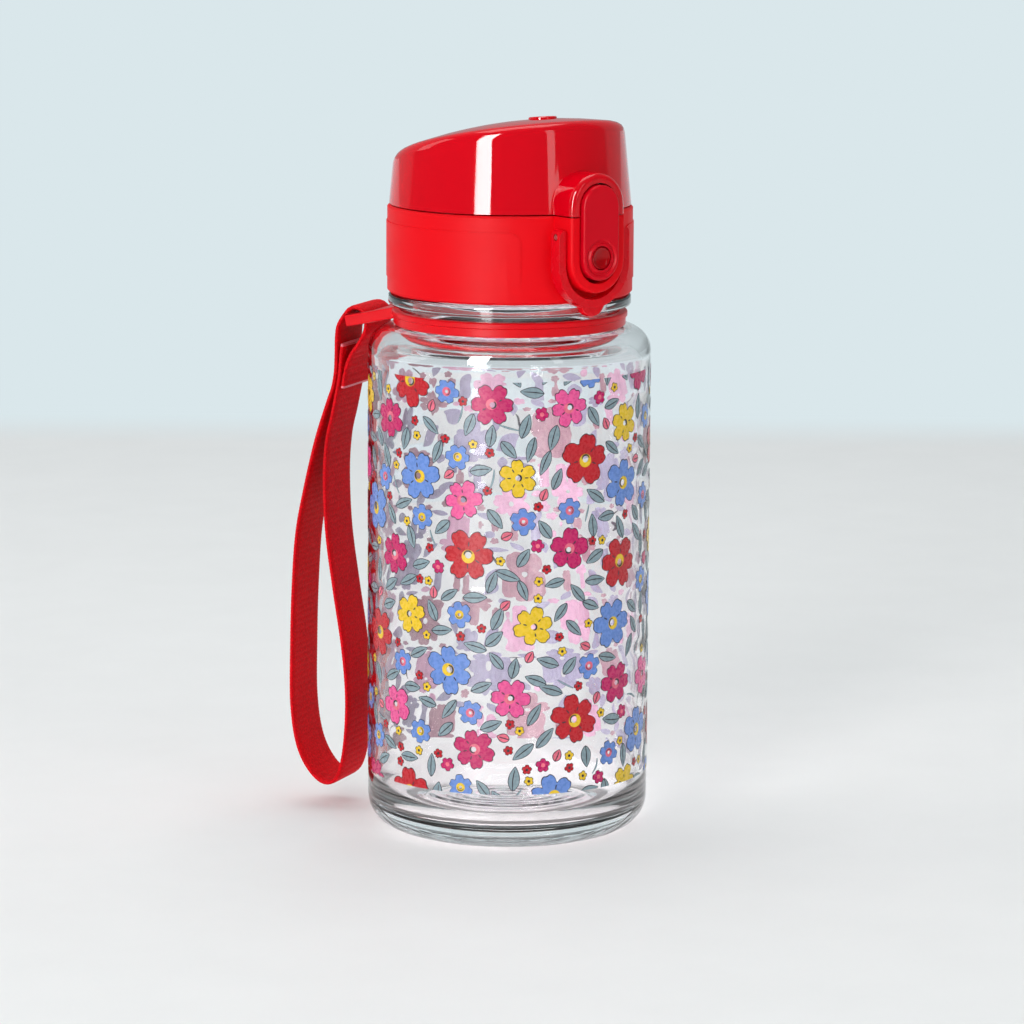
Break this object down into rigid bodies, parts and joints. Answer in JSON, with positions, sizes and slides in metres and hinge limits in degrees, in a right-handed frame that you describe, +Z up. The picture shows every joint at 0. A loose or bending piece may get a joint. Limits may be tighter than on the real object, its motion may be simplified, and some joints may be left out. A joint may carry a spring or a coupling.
{
  "type": "kids water bottle",
  "caption": "Clear child's water bottle with a twist-off cap, flip-up spout lid on a push button, swinging safety bail, strap ring and webbing wrist strap.",
  "frame": {"origin": "centre of the recessed base panel on the bottle's axis, 0.8 mm above the surface the foot stands on", "axes": "+Z up along the bottle's axis, -Y towards the release button and spout, +Y towards the lid hinge, +X to the right seen from the button side"},
  "size_m": [0.0676, 0.0847, 0.1683],
  "materials": {
    "clear_plastic": "clear glossy copolyester with a printed flower pattern",
    "matte_red": "matt moulded red polypropylene",
    "gloss_red": "high-gloss moulded red",
    "button_red": "satin-gloss moulded red",
    "dark_red": "glossy dark red cushion",
    "inner_red": "moulded red",
    "spout_plastic": "natural white moulded plastic",
    "white_silicone": "soft milky silicone",
    "red_webbing": "ribbed woven red webbing",
    "steel": "stainless steel wire and pins"
  },
  "bodies": {
    "bottle": {"bottle_body": "clear_plastic"},
    "ring": {"strap_ring": "matte_red"},
    "strap": {"wrist_strap": "red_webbing"},
    "gasket": {"neck_gasket": "white_silicone"},
    "cap": {"cap_sleeve": "matte_red", "spout_deck": "inner_red", "spout": "spout_plastic", "spout_o_ring": "white_silicone", "vent_valve": "white_silicone", "pivot_pin": "steel", "lid_hinge_pin": "steel", "lid_spring": "steel", "button_spring": "steel"},
    "lid": {"lid_shell": "gloss_red", "lid_liner": "inner_red", "spout_seal": "white_silicone"},
    "button": {"release_button": "button_red", "button_dot": "dark_red"},
    "bail": {"lock_bail": "gloss_red"}
  },
  "joints": [
    {"name": "ring_swivel", "type": "hinge", "parent": "bottle", "child": "ring", "pos_m": [0, 0, 0.1207], "axis": [0, 0, 1], "continuous": true},
    {"name": "strap_swing", "type": "hinge", "parent": "ring", "child": "strap", "pos_m": [-0.01926, 0.03081, 0.11874], "axis": [0.848, 0.5299, 0], "range_deg": [-2.5, 100]},
    {"name": "cap_lift", "type": "slide", "parent": "bottle", "child": "gasket", "axis": [0, 0, 1], "range_m": [0, 0.0181]},
    {"name": "cap_unscrew", "type": "hinge", "parent": "gasket", "child": "cap", "pos_m": [0, 0, 0.135], "axis": [0, 0, 1], "range_deg": [0, 1440]},
    {"name": "lid_flip", "type": "hinge", "parent": "cap", "child": "lid", "pos_m": [0, 0.0286, 0.1482], "axis": [-1, 0, 0], "range_deg": [0, 130]},
    {"name": "button_press", "type": "hinge", "parent": "cap", "child": "button", "pos_m": [0, -0.031, 0.1425], "axis": [1, 0, 0], "range_deg": [0, 5], "stiffness_Nm_per_rad": 0.03, "deforming": ["button_spring"]},
    {"name": "bail_flip", "type": "hinge", "parent": "cap", "child": "bail", "pos_m": [0, -0.031, 0.1425], "axis": [-1, 0, 0], "range_deg": [0, 180]}
  ],
  "couplings": [
    {"joint": "cap_lift", "follows": "cap_unscrew", "m_per_rad": 0.0007162}
  ]
}
